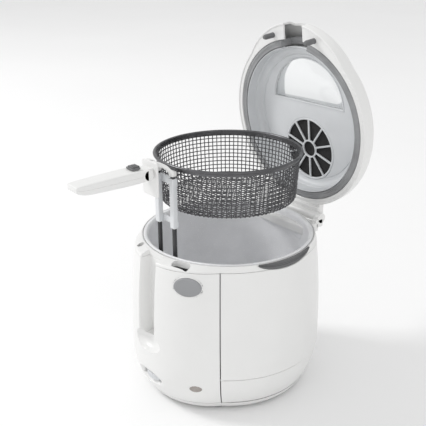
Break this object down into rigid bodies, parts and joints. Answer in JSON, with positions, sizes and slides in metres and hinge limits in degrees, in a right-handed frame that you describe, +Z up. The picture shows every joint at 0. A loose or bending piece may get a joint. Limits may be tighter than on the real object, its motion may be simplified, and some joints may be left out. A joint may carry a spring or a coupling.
{
  "type": "deep fryer",
  "caption": "Compact household deep fryer: round casing with a front control column, fixed bowl, hinged lid with window and filter, lift-out basket on guide rods, fold-down handle.",
  "frame": {"origin": "on the table, under the middle of the whole object's bounding box with the lid open and the handle out", "axes": "+Z up, -Y to the front with the control column and handle, +X to the right as seen from behind the lid; the bowl's axis is vertical, 24.1 mm behind the origin"},
  "size_m": [0.2476, 0.3998, 0.4692],
  "materials": {
    "white_plastic": "satin moulded plastic",
    "light_plastic": "light grey moulded plastic",
    "grey_plastic": "mid grey moulded plastic",
    "dark_plastic": "dark grey moulded plastic",
    "black_plastic": "black moulded plastic",
    "rubber": "grey silicone rubber",
    "black_foam": "black filter felt",
    "bowl_coat": "grey non-stick coating",
    "sheet_steel": "plain sheet steel",
    "steel_wire": "plated steel wire",
    "basket_wire": "tinned steel wire",
    "cast_plate": "cast aluminium",
    "dark_steel": "dark steel",
    "clear_glass": "clear toughened glass",
    "lamp_lens": "smoked clear plastic"
  },
  "bodies": {
    "casing": {"base_tray": "white_plastic", "foot_front_left": "rubber", "foot_front_right": "rubber", "foot_rear_left": "rubber", "foot_rear_right": "rubber", "base_screw_1": "steel_wire", "base_screw_2": "steel_wire", "base_screw_3": "steel_wire", "base_screw_4": "steel_wire", "outer_housing": "white_plastic", "front_panel": "white_plastic", "rim_collar": "white_plastic", "right_grip": "dark_plastic", "left_grip": "dark_plastic", "hinge_bracket": "white_plastic", "hinge_pin": "steel_wire", "bowl": "bowl_coat", "inner_pan": "sheet_steel", "heat_plate": "cast_plate", "heating_element": "dark_steel", "thermal_fuse": "sheet_steel", "thermostat": "black_plastic", "pilot_lens": "lamp_lens", "pilot_lamp": "clear_glass", "terminal_block": "black_plastic", "wiring_loom": "black_plastic", "cord_gland": "black_plastic", "button_spring": "steel_wire"},
    "lid": {"lid_shell": "white_plastic", "lid_liner": "light_plastic", "lid_gasket": "rubber", "window_frame": "light_plastic", "window_glass": "clear_glass", "filter_grille": "light_plastic", "filter_pad": "black_foam", "filter_chamber": "light_plastic", "vent_cover": "light_plastic", "lid_peg_left": "dark_plastic", "lid_peg_right": "dark_plastic"},
    "frame": {"hook_bracket": "white_plastic", "left_rod": "dark_steel", "right_rod": "dark_steel", "rod_foot": "dark_steel", "handle_pin": "steel_wire"},
    "basket": {"slide_carrier": "light_plastic", "basket_mesh": "basket_wire", "basket_rim": "basket_wire"},
    "handle": {"handle_grip": "white_plastic"},
    "lock": {"lock_slider": "dark_plastic"},
    "button": {"release_button": "grey_plastic", "latch_slide": "light_plastic"},
    "dial": {"thermostat_dial": "light_plastic", "dial_shaft": "steel_wire"}
  },
  "joints": [
    {"name": "lid_hinge", "type": "hinge", "parent": "casing", "child": "lid", "pos_m": [0, 0.15414, 0.207], "axis": [-1, 0, 0], "range_deg": [-84, 0]},
    {"name": "frame_lift", "type": "slide", "parent": "casing", "child": "frame", "axis": [0, 0, 1], "range_m": [-0.1, 0]},
    {"name": "basket_drop", "type": "slide", "parent": "frame", "child": "basket", "axis": [0, 0, 1], "range_m": [-0.048, 0]},
    {"name": "handle_fold", "type": "hinge", "parent": "frame", "child": "handle", "pos_m": [0, -0.10586, 0.318], "axis": [1, 0, 0], "range_deg": [0, 85]},
    {"name": "lock_slide", "type": "slide", "parent": "handle", "child": "lock", "axis": [0, -1, 0], "range_m": [0, 0.005], "stiffness_N_per_m": 200},
    {"name": "button_press", "type": "slide", "parent": "casing", "child": "button", "axis": [-0.5993, 0.8005, 0], "range_m": [0, 0.003], "stiffness_N_per_m": 600, "deforming": ["button_spring"]},
    {"name": "dial_turn", "type": "hinge", "parent": "casing", "child": "dial", "pos_m": [0, -0.08786, 0.04], "axis": [0, 0, 1], "range_deg": [0, 270]}
  ],
  "couplings": [
    {"joint": "frame_lift", "follows": "lid_hinge", "m_per_rad": 0.068208}
  ]
}
